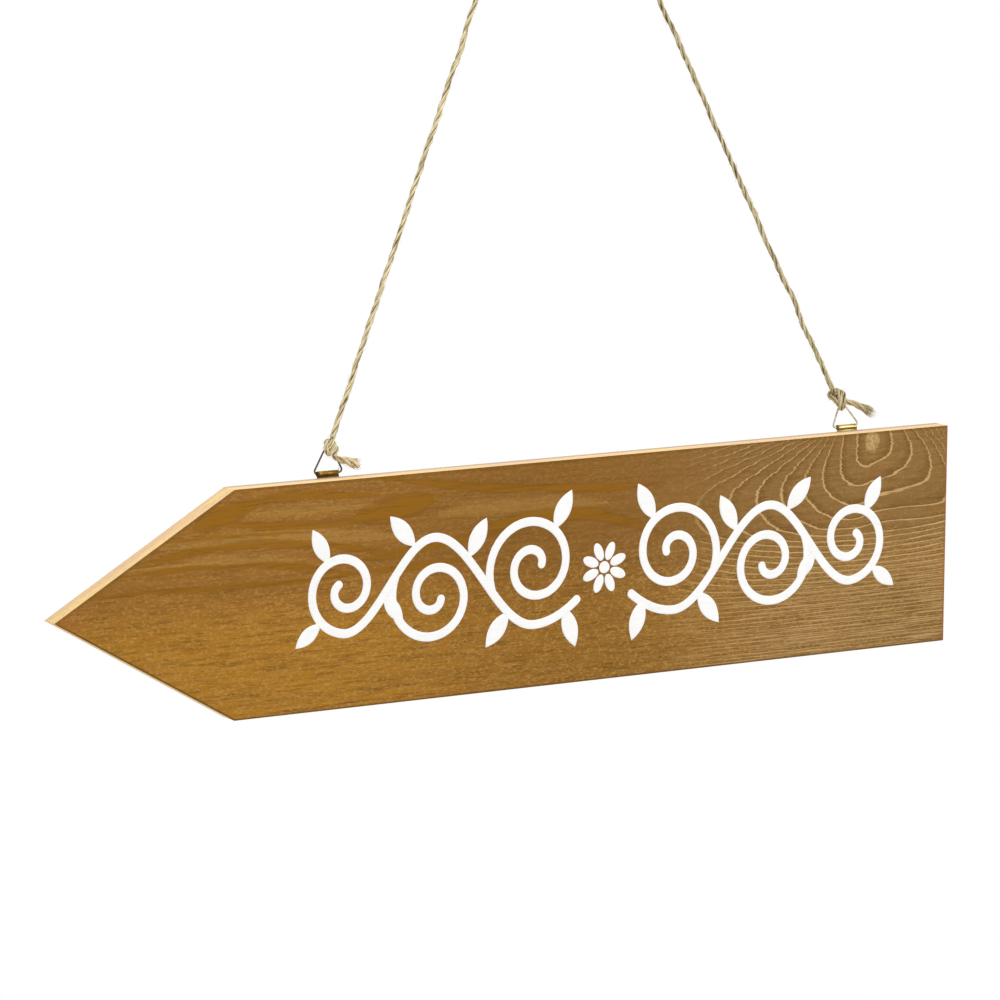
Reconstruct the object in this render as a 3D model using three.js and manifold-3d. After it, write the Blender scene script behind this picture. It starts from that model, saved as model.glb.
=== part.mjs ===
import * as THREE from 'three';
import { mergeVertices } from 'three/addons/utils/BufferGeometryUtils.js';
import Module from 'manifold-3d';

// A hanging direction sign: a wooden arrow board on two wire rings, tied to a loop of jute twine.
// Millimetres, +Z up. X runs along the board with its point towards -X, and the painted face
// looks towards -Y. The origin is on the axis of the wall peg, in the plane that the twine hangs in.

const gap = 0.3; // between pieces that move, pass through or meet end to end

const board = {
  length: 575,
  height: 125,
  thickness: 12,
  point: 108, // length of the pointed end
  edgeBreak: 0.5, // chamfer round both faces
};
const hang = {
  drop: 363, // peg axis down to the axis of the strap eyes
  tipToPeg: 313.5, // the peg is over the board's centre of mass
};
const strap = {
  width: 13.5,
  sheet: 0.8, // one layer of the folded strip
  length: 30, // eye axis down to the rounded end
  cornerRadius: 5,
  rise: 2, // eye axis above the board's top edge
};
const screw = {
  shank: 2.9,
  point: 2.4,
  head: 6,
  headHeight: 1.7,
  woodLeft: 3, // wood between the screw's point and the painted face
  fromEye: [9.5, 21],
  recess: { width: 0.9, length: 3.4, depth: 0.9 },
};
const ring = {
  wire: 1.3,
  base: 19.6, // between the base's corners before rounding
  height: 17.4, // base to apex before rounding
  cornerRadius: 1.6,
  apexRadius: 2,
  endGap: 0.6, // the wire's two ends meet inside the eye
};
const peg = {
  diameter: 8.4,
  inFront: 14, // from the twine to the head's face
  intoWall: 22, // from the twine to the far end
  head: 15,
  headThickness: 4,
  collar: 12,
  collarThickness: 2,
};
const twine = { diameter: 3, sides: 8, stepsPerPoint: 3 };
const knotCore = { below: 3, extra: 0.2 }; // how far it reaches below the knot's centre, and its swell

// Where each hanger sits from the board's tip, how far its ring's apex is shifted along X, where its
// knot lies from the apex, the knot's wraps and its loose tail. A wrap has its height along the twine,
// and a tail's two ends are measured from the knot, which its first few millimetres belong to.
const sides = {
  left: {
    fromTip: 172.5,
    apexShift: 0,
    knot: [1.4, 0, -0.6],
    wraps: [{ height: 3.1, radius: 3.1, tiltDegrees: 24 }, { height: 0.4, radius: 3, tiltDegrees: -22 }],
    tail: { from: [2.6, -2.7, -4], to: [17.8, -1.2, -9.8], root: 3, end: 5.6, knotted: 2.6 },
  },
  right: {
    fromTip: 513.5,
    apexShift: -3.2,
    knot: [-1.6, 0, 0.4],
    wraps: [
      { height: 3.4, radius: 3.9, tiltDegrees: 20 },
      { height: 0.2, radius: 4.2, tiltDegrees: -14 },
      { height: -2.6, radius: 3.2, tiltDegrees: 16 },
    ],
    tail: { from: [4.4, -3, -0.8], to: [23.5, -1.6, -10.6], root: 3.4, end: 6.4, knotted: 2.8 },
  },
};

// The twine's route in X and Z, from the left knot over the peg to the right knot.
const route = [
  [-137.6, -343.4], [-123.3, -306.0], [-105.5, -259.3], [-87.7, -212.6], [-69.8, -165.9],
  [-52.0, -119.2], [-34.2, -72.5], [-19.9, -35.1], [-11.0, -11.8], [-5.6, 2.1],
  [-4.4, 4.1], [-2.5, 5.4], [-0.4, 6.0], [1.9, 5.7], [3.9, 4.6], [5.3, 2.8],
  [12.4, -10.4], [24.2, -32.4], [45.5, -72.0], [69.2, -116.1], [92.9, -160.1],
  [116.6, -204.1], [140.2, -248.2], [163.9, -292.2], [189.9, -340.6],
];

// White scrollwork painted on the front. Places are from its centre, for the right half.
const flourish = {
  fromTip: 342,
  fromBottom: 63,
  film: 0.3,
  stroke: 5,
  capSteps: 4,
  start: { x: 18, rise: 11.5 },
  trough: { x: 46, z: -28 },
  crest: { x: 110, z: 26 },
  lastTrough: { x: 166, z: -22 },
  curls: {
    first: { x: 46, z: 5, outer: 29.5, inner: 5, startDegrees: -23, turns: 1.55 },
    second: { x: 110, z: -6, outer: 27.5, inner: 5, startDegrees: 28, turns: -1.5 },
  },
  lastCurl: { z: 2, inner: 5, startDegrees: -90, turns: 1.35 },
  leaves: {
    overFirstCurl: { x: 33, z: 24, length: 24, degrees: 118 },
    afterTrough: { x: 62, z: -19, length: 24, degrees: -52 },
    beforeCrest: { x: 88, z: 13, length: 24, degrees: 118 },
    afterCrest: { x: 122, z: 22, length: 24, degrees: 48 },
    underFall: { x: 142, z: -3, length: 20, degrees: -128 },
    afterLastTrough: { x: 181, z: -15, length: 20, degrees: -38 },
    atStart: { x: 26, z: -20, length: 24, degrees: -108 },
    overLastCurl: { x: 176, z: 17, length: 22, degrees: 62 },
  },
  leafWidth: 0.42, // of the leaf's length
  petals: 8,
  petal: 15,
  middle: 6.8, // diameter of the blossom's middle
};

const eyeBore = ring.wire / 2 + gap;
const eyeRadius = eyeBore + strap.sheet;
const backY = -eyeRadius; // the strap lies flat on the board's back
const frontY = backY - board.thickness;
const eyeZ = -hang.drop;
const topZ = eyeZ - strap.rise;
const bottomZ = topZ - board.height;
const tipX = -hang.tipToPeg;
const strapBackY = backY + 2 * strap.sheet;

const finish = (color, roughness, metalness = 0) =>
  new THREE.MeshStandardMaterial({ color, roughness, metalness });
const stainedWood = finish(0x7d5a36, 0.6);
const whitePaint = finish(0xf4f0e8, 0.5);
const brass = finish(0xb08a3e, 0.35, 1);
const ringWire = finish(0x8c8468, 0.35, 1);
const screwBrass = finish(0xa88a4c, 0.4, 1);
const jute = finish(0xc3b184, 0.95);

const wasm = await Module();
wasm.setup();

function toSolid(geometry) {
  const plain = geometry.clone();
  plain.deleteAttribute('normal');
  plain.deleteAttribute('uv');
  const merged = mergeVertices(plain, 1e-4);
  const index = merged.index.array;
  const kept = [];
  for (let i = 0; i < index.length; i += 3) {
    const [a, b, c] = index.slice(i, i + 3);
    if (a !== b && b !== c && c !== a) kept.push(a, b, c); // those at a pole have no area
  }
  const vertProperties = merged.attributes.position.array;
  return new wasm.Manifold(new wasm.Mesh({ numProp: 3, vertProperties, triVerts: Uint32Array.from(kept) }));
}

function toGeometry(solid) {
  const { vertProperties, triVerts } = solid.getMesh();
  const geometry = new THREE.BufferGeometry();
  geometry.setAttribute('position', new THREE.BufferAttribute(vertProperties, 3));
  geometry.setIndex(new THREE.BufferAttribute(triVerts, 1));
  geometry.computeVertexNormals();
  return geometry;
}

const joined = (...parts) => parts.map(toSolid).reduce((whole, part) => whole.add(part));

// An outline drawn in X and Z, given depth from y = front towards +Y.
function slab(outline, front, depth, edge = 0) {
  const bevel = { bevelSize: edge, bevelThickness: edge, bevelOffset: -edge, bevelSegments: 1 };
  const options = { depth: depth - 2 * edge, curveSegments: 5, bevelEnabled: edge > 0, ...bevel };
  const geometry = new THREE.ExtrudeGeometry(outline, options);
  geometry.rotateX(Math.PI / 2);
  geometry.translate(0, front + depth - edge, 0);
  return geometry;
}

// A tube with flat ends along a path.
function tube(path, radius, steps, facets) {
  const corners = [];
  for (let i = 0; i < facets; i++) {
    const angle = (2 * Math.PI * i) / facets;
    corners.push(new THREE.Vector2(radius * Math.cos(angle), radius * Math.sin(angle)));
  }
  const section = new THREE.Shape(corners);
  return new THREE.ExtrudeGeometry(section, { steps, extrudePath: path, bevelEnabled: false });
}

// Straight runs between corners, each corner eased with a curve that starts `ease` from it.
function easedPath(corners, ease) {
  const path = new THREE.CurvePath();
  let from = corners[0];
  for (let i = 1; i < corners.length - 1; i++) {
    const before = corners[i].clone().lerp(corners[i - 1], ease[i] / corners[i].distanceTo(corners[i - 1]));
    const after = corners[i].clone().lerp(corners[i + 1], ease[i] / corners[i].distanceTo(corners[i + 1]));
    path.add(new THREE.LineCurve3(from, before));
    path.add(new THREE.QuadraticBezierCurve3(before, corners[i], after));
    from = after;
  }
  path.add(new THREE.LineCurve3(from, corners.at(-1)));
  return path;
}

// A turned piece: profile points are [radius, place along Y].
function turned(profile, facets) {
  return new THREE.LatheGeometry(profile.map(([r, y]) => new THREE.Vector2(r, y)), facets);
}

function arrowBoard() {
  const outline = new THREE.Shape([
    new THREE.Vector2(tipX, (topZ + bottomZ) / 2),
    new THREE.Vector2(tipX + board.point, bottomZ),
    new THREE.Vector2(tipX + board.length, bottomZ),
    new THREE.Vector2(tipX + board.length, topZ),
    new THREE.Vector2(tipX + board.point, topZ),
  ]);
  let solid = toSolid(slab(outline, frontY, board.thickness, board.edgeBreak));
  const pointY = frontY + screw.woodLeft - gap;
  const depth = backY - pointY + board.edgeBreak;
  for (const side of Object.values(sides)) {
    for (const below of screw.fromEye) {
      const hole = new THREE.CylinderGeometry(screw.shank / 2 + gap, screw.shank / 2 + gap, depth, 20);
      hole.translate(strapX(side), pointY + depth / 2, eyeZ - below);
      solid = solid.subtract(toSolid(hole));
    }
  }
  return toGeometry(solid);
}

const strapX = (side) => tipX + side.fromTip;

function strapOutline() {
  const half = strap.width / 2;
  const r = strap.cornerRadius;
  const outline = new THREE.Shape();
  outline.moveTo(half, 0);
  outline.lineTo(-half, 0);
  outline.lineTo(-half, -strap.length + r);
  outline.absarc(-half + r, -strap.length + r, r, Math.PI, 1.5 * Math.PI);
  outline.absarc(half - r, -strap.length + r, r, 1.5 * Math.PI, 2 * Math.PI);
  for (const below of screw.fromEye) {
    outline.holes.push(new THREE.Path().absarc(0, -below, screw.shank / 2 + gap, 0, 2 * Math.PI, true));
  }
  return outline;
}

function hangerStrap() {
  const leaf = slab(strapOutline(), backY, 2 * strap.sheet);
  const eye = new THREE.CylinderGeometry(eyeRadius, eyeRadius, strap.width, 28);
  const bore = new THREE.CylinderGeometry(eyeBore, eyeBore, strap.width + 2, 20);
  eye.rotateZ(Math.PI / 2);
  bore.rotateZ(Math.PI / 2);
  return toGeometry(joined(leaf, eye).subtract(toSolid(bore)));
}

function strapScrew() {
  const tip = frontY + screw.woodLeft - strapBackY;
  const body = turned([
    [0, tip], [screw.shank / 2, tip + screw.point], [screw.shank / 2, 0], [screw.head / 2, 0],
    [screw.head / 2, 0.45 * screw.headHeight], [0.4 * screw.head, 0.8 * screw.headHeight],
    [0.22 * screw.head, screw.headHeight], [0, screw.headHeight],
  ], 20);
  const { width, length, depth } = screw.recess;
  const bar = new THREE.BoxGeometry(width, 2 * depth, length).translate(0, screw.headHeight, 0);
  const cross = new THREE.BoxGeometry(length, 2 * depth, width).translate(0, screw.headHeight, 0);
  return toGeometry(toSolid(body).subtract(joined(bar, cross)));
}

const ringApex = (side) => new THREE.Vector3(side.apexShift, 0, ring.height);

// The ring in its own plane, its base on the origin. Rounding with a given radius takes this much.
function ringTube(side, radius) {
  const half = ring.base / 2;
  const apex = ringApex(side);
  const corners = [
    new THREE.Vector3(ring.endGap / 2, 0, 0), new THREE.Vector3(half, 0, 0), apex,
    new THREE.Vector3(-half, 0, 0), new THREE.Vector3(-ring.endGap / 2, 0, 0),
  ];
  const radii = [0, ring.cornerRadius, ring.apexRadius, ring.cornerRadius, 0];
  const ease = corners.map((corner, i) => {
    if (!radii[i]) return 0;
    const angle = corners[i - 1].clone().sub(corner).angleTo(corners[i + 1].clone().sub(corner));
    return radii[i] / Math.tan(angle / 2);
  });
  return tube(easedPath(corners, ease), radius, 60, 8);
}

// The wire's centre at the rounded apex, in the part's frame. The curve passes halfway between the
// sharp corner and the line that joins the curve's two ends.
function apexPlace(side) {
  const half = Math.atan(ring.base / 2 / ring.height);
  const lower = (ring.apexRadius * Math.cos(half) ** 2) / (2 * Math.sin(half));
  const x = strapX(side) + side.apexShift * (1 - lower / ring.height);
  return new THREE.Vector3(x, 0, eyeZ + ring.height - lower);
}

const knotPlace = (side) => apexPlace(side).add(new THREE.Vector3(...side.knot));

// A straight round bar between two points.
function bar(from, to, radius, endRadius = radius, facets = 12) {
  const run = to.clone().sub(from);
  const geometry = new THREE.CylinderGeometry(endRadius, radius, run.length(), facets);
  const along = run.clone().normalize();
  geometry.applyQuaternion(new THREE.Quaternion().setFromUnitVectors(new THREE.Vector3(0, 1, 0), along));
  const middle = from.clone().lerp(to, 0.5);
  return geometry.translate(middle.x, middle.y, middle.z);
}

const twineEnd = (side) => {
  const [x, z] = side === sides.left ? route[0] : route.at(-1);
  return new THREE.Vector3(x, 0, z);
};

// The loose tail widens as its strands open. A stretch of it, between two distances from its root.
function tailStretch(side, start, end = Infinity) {
  const root = knotPlace(side).add(new THREE.Vector3(...side.tail.from));
  const tip = knotPlace(side).add(new THREE.Vector3(...side.tail.to));
  const length = root.distanceTo(tip);
  const at = (distance) => Math.min(distance / length, 1);
  const radius = (share) => THREE.MathUtils.lerp(side.tail.root, side.tail.end, share) / 2;
  const from = root.clone().lerp(tip, at(start));
  return bar(from, root.clone().lerp(tip, at(end)), radius(at(start)), radius(at(end)));
}

function knot(side) {
  const centre = knotPlace(side);
  const up = twineEnd(side).sub(centre).normalize();
  const radius = twine.diameter / 2;
  const parts = [];
  const loop = new THREE.TorusGeometry(radius + ring.wire / 2 + gap, radius, 8, 14);
  loop.rotateY(Math.PI / 2);
  const apex = apexPlace(side);
  parts.push(loop.translate(apex.x, apex.y, apex.z));
  for (const { height, radius: wrapRadius, tiltDegrees } of side.wraps) {
    const wrap = new THREE.TorusGeometry(wrapRadius, radius, 8, 16);
    wrap.applyQuaternion(new THREE.Quaternion().setFromUnitVectors(new THREE.Vector3(0, 0, 1), up));
    wrap.rotateY(THREE.MathUtils.degToRad(tiltDegrees));
    const place = centre.clone().addScaledVector(up, height);
    parts.push(wrap.translate(place.x, place.y, place.z));
  }
  const coreFrom = centre.clone().addScaledVector(up, -knotCore.below);
  parts.push(bar(coreFrom, twineEnd(side).addScaledVector(up, -gap), radius + knotCore.extra));
  parts.push(bar(centre, centre.clone().add(new THREE.Vector3(...side.tail.from)), side.tail.root / 2));
  parts.push(tailStretch(side, 0, side.tail.knotted));
  const clear = ringTube(side, ring.wire / 2 + gap).translate(strapX(side), 0, eyeZ);
  return toGeometry(joined(...parts).subtract(toSolid(clear)));
}

function hangingTwine() {
  const path = new THREE.CatmullRomCurve3(route.map(([x, z]) => new THREE.Vector3(x, 0, z)));
  path.getPointAt = path.getPoint; // even steps between points, so they are close round the peg
  path.getTangentAt = path.getTangent;
  return tube(path, twine.diameter / 2, twine.stepsPerPoint * (route.length - 1), twine.sides);
}

function wallPeg() {
  const { inFront, intoWall, headThickness, collarThickness } = peg;
  const r = peg.diameter / 2;
  const collarFront = intoWall / 3;
  return turned([
    [0, -inFront], [0.3 * peg.head, -inFront], [0.44 * peg.head, -inFront + 0.2 * headThickness],
    [peg.head / 2, -inFront + 0.5 * headThickness], [0.44 * peg.head, -inFront + 0.8 * headThickness],
    [r + 0.8, -inFront + headThickness], [r, -inFront + headThickness + 1],
    [r, collarFront], [peg.collar / 2, collarFront], [peg.collar / 2, collarFront + collarThickness],
    [0.7 * r, collarFront + collarThickness], [0.7 * r, intoWall - r], [0, intoWall],
  ], 20);
}

// A painted stroke of even width along a line of points, with round ends.
function stroke(line) {
  const half = flourish.stroke / 2;
  const heading = line.map((p, i) => {
    const before = line[Math.max(i - 1, 0)];
    const after = line[Math.min(i + 1, line.length - 1)];
    return Math.atan2(after.y - before.y, after.x - before.x);
  });
  const at = (p, angle) => new THREE.Vector2(p.x + half * Math.cos(angle), p.y + half * Math.sin(angle));
  const outline = line.map((p, i) => at(p, heading[i] - Math.PI / 2));
  for (let k = 1; k < flourish.capSteps; k++) {
    outline.push(at(line.at(-1), heading.at(-1) - Math.PI / 2 + (k * Math.PI) / flourish.capSteps));
  }
  for (let i = line.length - 1; i >= 0; i--) outline.push(at(line[i], heading[i] + Math.PI / 2));
  for (let k = 1; k < flourish.capSteps; k++) {
    outline.push(at(line[0], heading[0] + Math.PI / 2 + (k * Math.PI) / flourish.capSteps));
  }
  return slab(new THREE.Shape(outline), frontY - flourish.film, flourish.film);
}

// A leaf or petal with two curved sides, its base at x, z.
function leaf({ x, z, length, degrees }) {
  const half = length * flourish.leafWidth;
  const heading = THREE.MathUtils.degToRad(degrees);
  const turn = (u, v) => new THREE.Vector2(u, v).rotateAround(new THREE.Vector2(), heading);
  const place = (u, v) => turn(u, v).add(new THREE.Vector2(x, z));
  const points = [[0.45, -half], [1, 0], [0.45, half]].map(([u, v]) => place(u * length, v));
  const outline = new THREE.Shape();
  const base = place(0, 0);
  outline.moveTo(base.x, base.y);
  outline.quadraticCurveTo(points[0].x, points[0].y, points[1].x, points[1].y);
  outline.quadraticCurveTo(points[2].x, points[2].y, base.x, base.y);
  return slab(outline, frontY - flourish.film, flourish.film);
}

// Half a wave between two level points, then on to the next.
function wave(from, to, steps) {
  const points = [];
  for (let i = 0; i < steps; i++) {
    const share = (1 - Math.cos((Math.PI * i) / steps)) / 2;
    const x = from.x + ((to.x - from.x) * i) / steps;
    points.push(new THREE.Vector2(x, from.z + (to.z - from.z) * share));
  }
  return points;
}

function curl({ x, z, outer, inner, startDegrees, turns }, steps = 28) {
  const points = [];
  for (let i = 0; i <= steps; i++) {
    const angle = THREE.MathUtils.degToRad(startDegrees + (360 * turns * i) / steps);
    const radius = outer + ((inner - outer) * i) / steps;
    points.push(new THREE.Vector2(x + radius * Math.cos(angle), z + radius * Math.sin(angle)));
  }
  return points;
}

function scrollHalf(mirrored) {
  const { start, trough, crest, lastTrough, lastCurl } = flourish;
  const opening = [];
  for (let i = 0; i < 8; i++) {
    const x = start.x + ((trough.x - start.x) * i) / 8;
    const back = (trough.x - x) / (trough.x - start.x);
    opening.push(new THREE.Vector2(x, trough.z + start.rise * back * back));
  }
  const end = { ...lastCurl, x: lastTrough.x, outer: lastCurl.z - lastTrough.z };
  const stem = [...opening, ...wave(trough, crest, 10), ...wave(crest, lastTrough, 10), ...curl(end)];
  const strokes = [stem, ...Object.values(flourish.curls).map((each) => curl(each))].map(stroke);
  let solid = joined(...strokes, ...Object.values(flourish.leaves).map(leaf));
  if (mirrored) solid = solid.mirror([1, 0, 0]);
  return toGeometry(solid);
}

function blossom() {
  const petals = [];
  for (let i = 0; i < flourish.petals; i++) {
    petals.push(leaf({ x: 0, z: 0, length: flourish.petal, degrees: (360 * i) / flourish.petals }));
  }
  const middle = new THREE.CylinderGeometry(flourish.middle / 2, flourish.middle / 2, flourish.film, 16);
  petals.push(middle.translate(0, frontY - flourish.film / 2, 0));
  return toGeometry(joined(...petals));
}

const sign = new THREE.Group();
function place(name, geometry, material, x = 0, y = 0, z = 0) {
  const mesh = new THREE.Mesh(geometry, material);
  mesh.name = name;
  mesh.position.set(x, y, z);
  sign.add(mesh);
}

const scrollX = tipX + flourish.fromTip;
const scrollZ = bottomZ + flourish.fromBottom;
place('arrow_board', arrowBoard(), stainedWood);
place('painted_scroll_left', scrollHalf(true), whitePaint, scrollX, 0, scrollZ);
place('painted_scroll_right', scrollHalf(false), whitePaint, scrollX, 0, scrollZ);
place('painted_blossom', blossom(), whitePaint, scrollX, 0, scrollZ);
for (const [name, side] of Object.entries(sides)) {
  place(`hanger_strap_${name}`, hangerStrap(), brass, strapX(side), 0, eyeZ);
  screw.fromEye.forEach((below, i) => {
    place(`strap_screw_${name}_${i + 1}`, strapScrew(), screwBrass, strapX(side), strapBackY, eyeZ - below);
  });
  place(`triangle_ring_${name}`, ringTube(side, ring.wire / 2), ringWire, strapX(side), 0, eyeZ);
  place(`knot_${name}`, knot(side), jute);
  place(`twine_tail_${name}`, tailStretch(side, side.tail.knotted + gap), jute);
}
place('hanging_twine', hangingTwine(), jute);
place('wall_peg', wallPeg(), brass);

export default sign;
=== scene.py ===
# A wooden arrow sign with a white painted scroll. It hangs from two brass strap hangers, whose wire
# rings are tied to a loop of jute twine over a wall peg. Metres, +Z up, the painted face towards -Y.
import math
import random

import bmesh
import bpy
from mathutils import Matrix, Vector, noise


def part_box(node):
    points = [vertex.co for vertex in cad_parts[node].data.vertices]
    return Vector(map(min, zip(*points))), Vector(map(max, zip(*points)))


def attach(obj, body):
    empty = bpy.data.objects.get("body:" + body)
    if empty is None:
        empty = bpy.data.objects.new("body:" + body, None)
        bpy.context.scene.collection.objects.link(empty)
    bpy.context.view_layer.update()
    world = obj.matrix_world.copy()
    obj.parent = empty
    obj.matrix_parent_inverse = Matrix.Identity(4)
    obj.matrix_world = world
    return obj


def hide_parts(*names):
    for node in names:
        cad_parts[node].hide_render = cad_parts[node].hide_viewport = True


mm = 0.001
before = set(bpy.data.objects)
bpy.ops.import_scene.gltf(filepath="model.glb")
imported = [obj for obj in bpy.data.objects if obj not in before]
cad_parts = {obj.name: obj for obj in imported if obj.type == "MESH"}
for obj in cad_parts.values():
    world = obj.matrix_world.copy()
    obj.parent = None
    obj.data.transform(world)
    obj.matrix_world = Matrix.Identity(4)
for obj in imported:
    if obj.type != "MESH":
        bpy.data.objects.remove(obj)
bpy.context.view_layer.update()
scene = bpy.context.scene
boardLow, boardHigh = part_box("arrow_board")
print("frame loaded:", len(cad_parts), "nodes")


# Camera

cameraView = {
    "azimuth": -31.98,  # degrees, from straight in front
    "elevation": 9.48,
    "roll": 0.5,
    "distance": 3.236,
    "focalLength": 5934,  # in pixels of the photograph
    "photoWidth": 1000,
    "target": (-39.8 * mm, -13.75 * mm, -383.8 * mm),
}


def directionFrom(azimuth, elevation):  # degrees, from straight in front of the painted face
    az, el = math.radians(azimuth), math.radians(elevation)
    return Vector((math.sin(az) * math.cos(el), -math.cos(az) * math.cos(el), math.sin(el)))


def makeCamera(view):
    back = directionFrom(view["azimuth"], view["elevation"])
    right = Vector((-back.y, back.x, 0)).normalized()
    turned = Matrix.Rotation(math.radians(view["roll"]), 3, back)
    axes = Matrix((turned @ right, turned @ back.cross(right), back)).transposed()
    lens = bpy.data.cameras.new("camera")
    lens.lens = view["focalLength"] / view["photoWidth"] * lens.sensor_width
    lens.clip_start, lens.clip_end = 0.1, 50
    camera = bpy.data.objects.new("camera", lens)
    stand = Matrix.Translation(Vector(view["target"]) + view["distance"] * back)
    camera.matrix_world = stand @ axes.to_4x4()
    scene.collection.objects.link(camera)
    scene.camera = camera


makeCamera(cameraView)
scene.view_settings.view_transform = "Standard"
print("camera placed")


# Node helpers

def addNode(tree, kind, inputs=None, **settings):
    node = tree.nodes.new(kind)
    for key, value in settings.items():
        setattr(node, key, value)
    for key, value in (inputs or {}).items():
        setInput(tree, node.inputs[key], value)
    return node


def setInput(tree, socket, value):
    if isinstance(value, bpy.types.NodeSocket):
        tree.links.new(value, socket)
    elif hasattr(value, "__len__") and socket.type == "RGBA" and len(value) == 3:
        socket.default_value = (*value, 1)
    else:
        socket.default_value = value


def calc(tree, operation, *values):
    node = addNode(tree, "ShaderNodeMath", operation=operation)
    for socket, value in zip(node.inputs, values):
        setInput(tree, socket, value)
    return node.outputs[0]


def plus(tree, first, second):
    return calc(tree, "ADD", first, second)


def minus(tree, first, second):
    return calc(tree, "SUBTRACT", first, second)


def times(tree, first, second, *more):
    product = calc(tree, "MULTIPLY", first, second)
    for value in more:
        product = calc(tree, "MULTIPLY", product, value)
    return product


def scaled(tree, value, factor, offset):  # value × factor + offset
    return calc(tree, "MULTIPLY_ADD", value, factor, offset)


def ramp(tree, value, low, high, toLow=0.0, toHigh=1.0):  # eased from one value to another
    node = addNode(tree, "ShaderNodeMapRange", {
        "Value": value, "From Min": low, "From Max": high,
    }, interpolation_type="SMOOTHSTEP")
    setInput(tree, node.inputs["To Min"], toLow)
    setInput(tree, node.inputs["To Max"], toHigh)
    return node.outputs["Result"]


def mixColour(tree, factor, first, second):
    node = addNode(tree, "ShaderNodeMix", data_type="RGBA")
    setInput(tree, node.inputs["Factor"], factor)
    colours = [s for s in node.inputs if s.type == "RGBA"]
    setInput(tree, colours[0], first)
    setInput(tree, colours[1], second)
    return next(s for s in node.outputs if s.type == "RGBA")


def mixValue(tree, factor, first, second):
    node = addNode(tree, "ShaderNodeMix", data_type="FLOAT")
    for socket, value in zip([s for s in node.inputs if s.type == "VALUE"], (factor, first, second)):
        setInput(tree, socket, value)
    return node.outputs[0]


def mapped(tree, vector, scale, location=(0, 0, 0)):
    inputs = {"Vector": vector, "Scale": scale, "Location": location}
    return addNode(tree, "ShaderNodeMapping", inputs).outputs[0]


def noiseValue(tree, vector, scale, detail=3.0, roughness=0.55):
    inputs = {"Vector": vector, "Scale": scale, "Detail": detail, "Roughness": roughness}
    return addNode(tree, "ShaderNodeTexNoise", inputs).outputs["Fac"]


def stretchedNoise(tree, vector, stretch, location=(0, 0, 0), detail=3.0, roughness=0.55):
    return noiseValue(tree, mapped(tree, vector, stretch, location), 1, detail, roughness)


def parts(tree, vector):
    return addNode(tree, "ShaderNodeSeparateXYZ", {"Vector": vector}).outputs


def lengthOf(tree, vector):
    return addNode(tree, "ShaderNodeVectorMath", {0: vector}, operation="LENGTH").outputs["Value"]


def newGroup(name, inputs, outputs):
    group = bpy.data.node_groups.new(name, "ShaderNodeTree")
    for key, kind, value in inputs:
        socket = group.interface.new_socket(key, in_out="INPUT", socket_type=kind)
        socket.default_value = value
    for key, kind in outputs:
        group.interface.new_socket(key, in_out="OUTPUT", socket_type=kind)
    return group, group.nodes.new("NodeGroupInput").outputs, group.nodes.new("NodeGroupOutput").inputs


def newMaterial(name):
    material = bpy.data.materials.new(name)
    material.use_nodes = True
    tree = material.node_tree
    return material, tree, tree.nodes["Principled BSDF"]


def objectPlace(tree):
    return addNode(tree, "ShaderNodeTexCoord").outputs["Object"]


def finishShader(tree, shader, colour, roughness, height, strength, distance):
    inputs = {"Height": height, "Strength": strength, "Distance": distance}
    bump = addNode(tree, "ShaderNodeBump", inputs).outputs[0]
    for key, value in (("Base Color", colour), ("Roughness", roughness), ("Normal", bump)):
        setInput(tree, shader.inputs[key], value)


# Mesh helpers

def addPiece(name, mesh, body, replaced, sharpAngle=35):
    mesh.polygons.foreach_set("use_smooth", [True] * len(mesh.polygons))
    mesh.set_sharp_from_angle(angle=math.radians(sharpAngle))
    piece = bpy.data.objects.new(name, mesh)
    scene.collection.objects.link(piece)
    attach(piece, body)
    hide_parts(replaced)
    return piece


def finishMesh(name, bm, *materials):
    mesh = bpy.data.meshes.new(name)
    bmesh.ops.recalc_face_normals(bm, faces=bm.faces)
    bm.to_mesh(mesh)
    bm.free()
    for material in materials:
        mesh.materials.append(material)
    return mesh


def extrudeFlat(bm, faces, depth):
    grown = bmesh.ops.extrude_face_region(bm, geom=faces)
    moved = [g for g in grown["geom"] if isinstance(g, bmesh.types.BMVert)]
    bmesh.ops.translate(bm, verts=moved, vec=(0, depth, 0))


def bevelEdges(bm, edges, width, segments):
    bmesh.ops.bevel(bm, geom=edges, offset=width, offset_type="OFFSET", segments=segments, profile=0.5,
                    affect="EDGES", material=-1)


def sharpEdges(bm):
    return [e for e in bm.edges if e.calc_face_angle(0) > 1]


def turnedShape(bm, profile, centre, steps=48):  # profile points are (radius, place along Y)
    verts = [bm.verts.new((r, y, 0)) for r, y in profile]
    edges = [bm.edges.new(pair) for pair in zip(verts, verts[1:])]
    bmesh.ops.spin(bm, geom=verts + edges, cent=(0, 0, 0), axis=(0, 1, 0), dvec=(0, 0, 0),
                   angle=math.tau, steps=steps, use_merge=True)
    bmesh.ops.remove_doubles(bm, verts=bm.verts, dist=0.01 * mm)
    bmesh.ops.translate(bm, verts=bm.verts, vec=centre)


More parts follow.
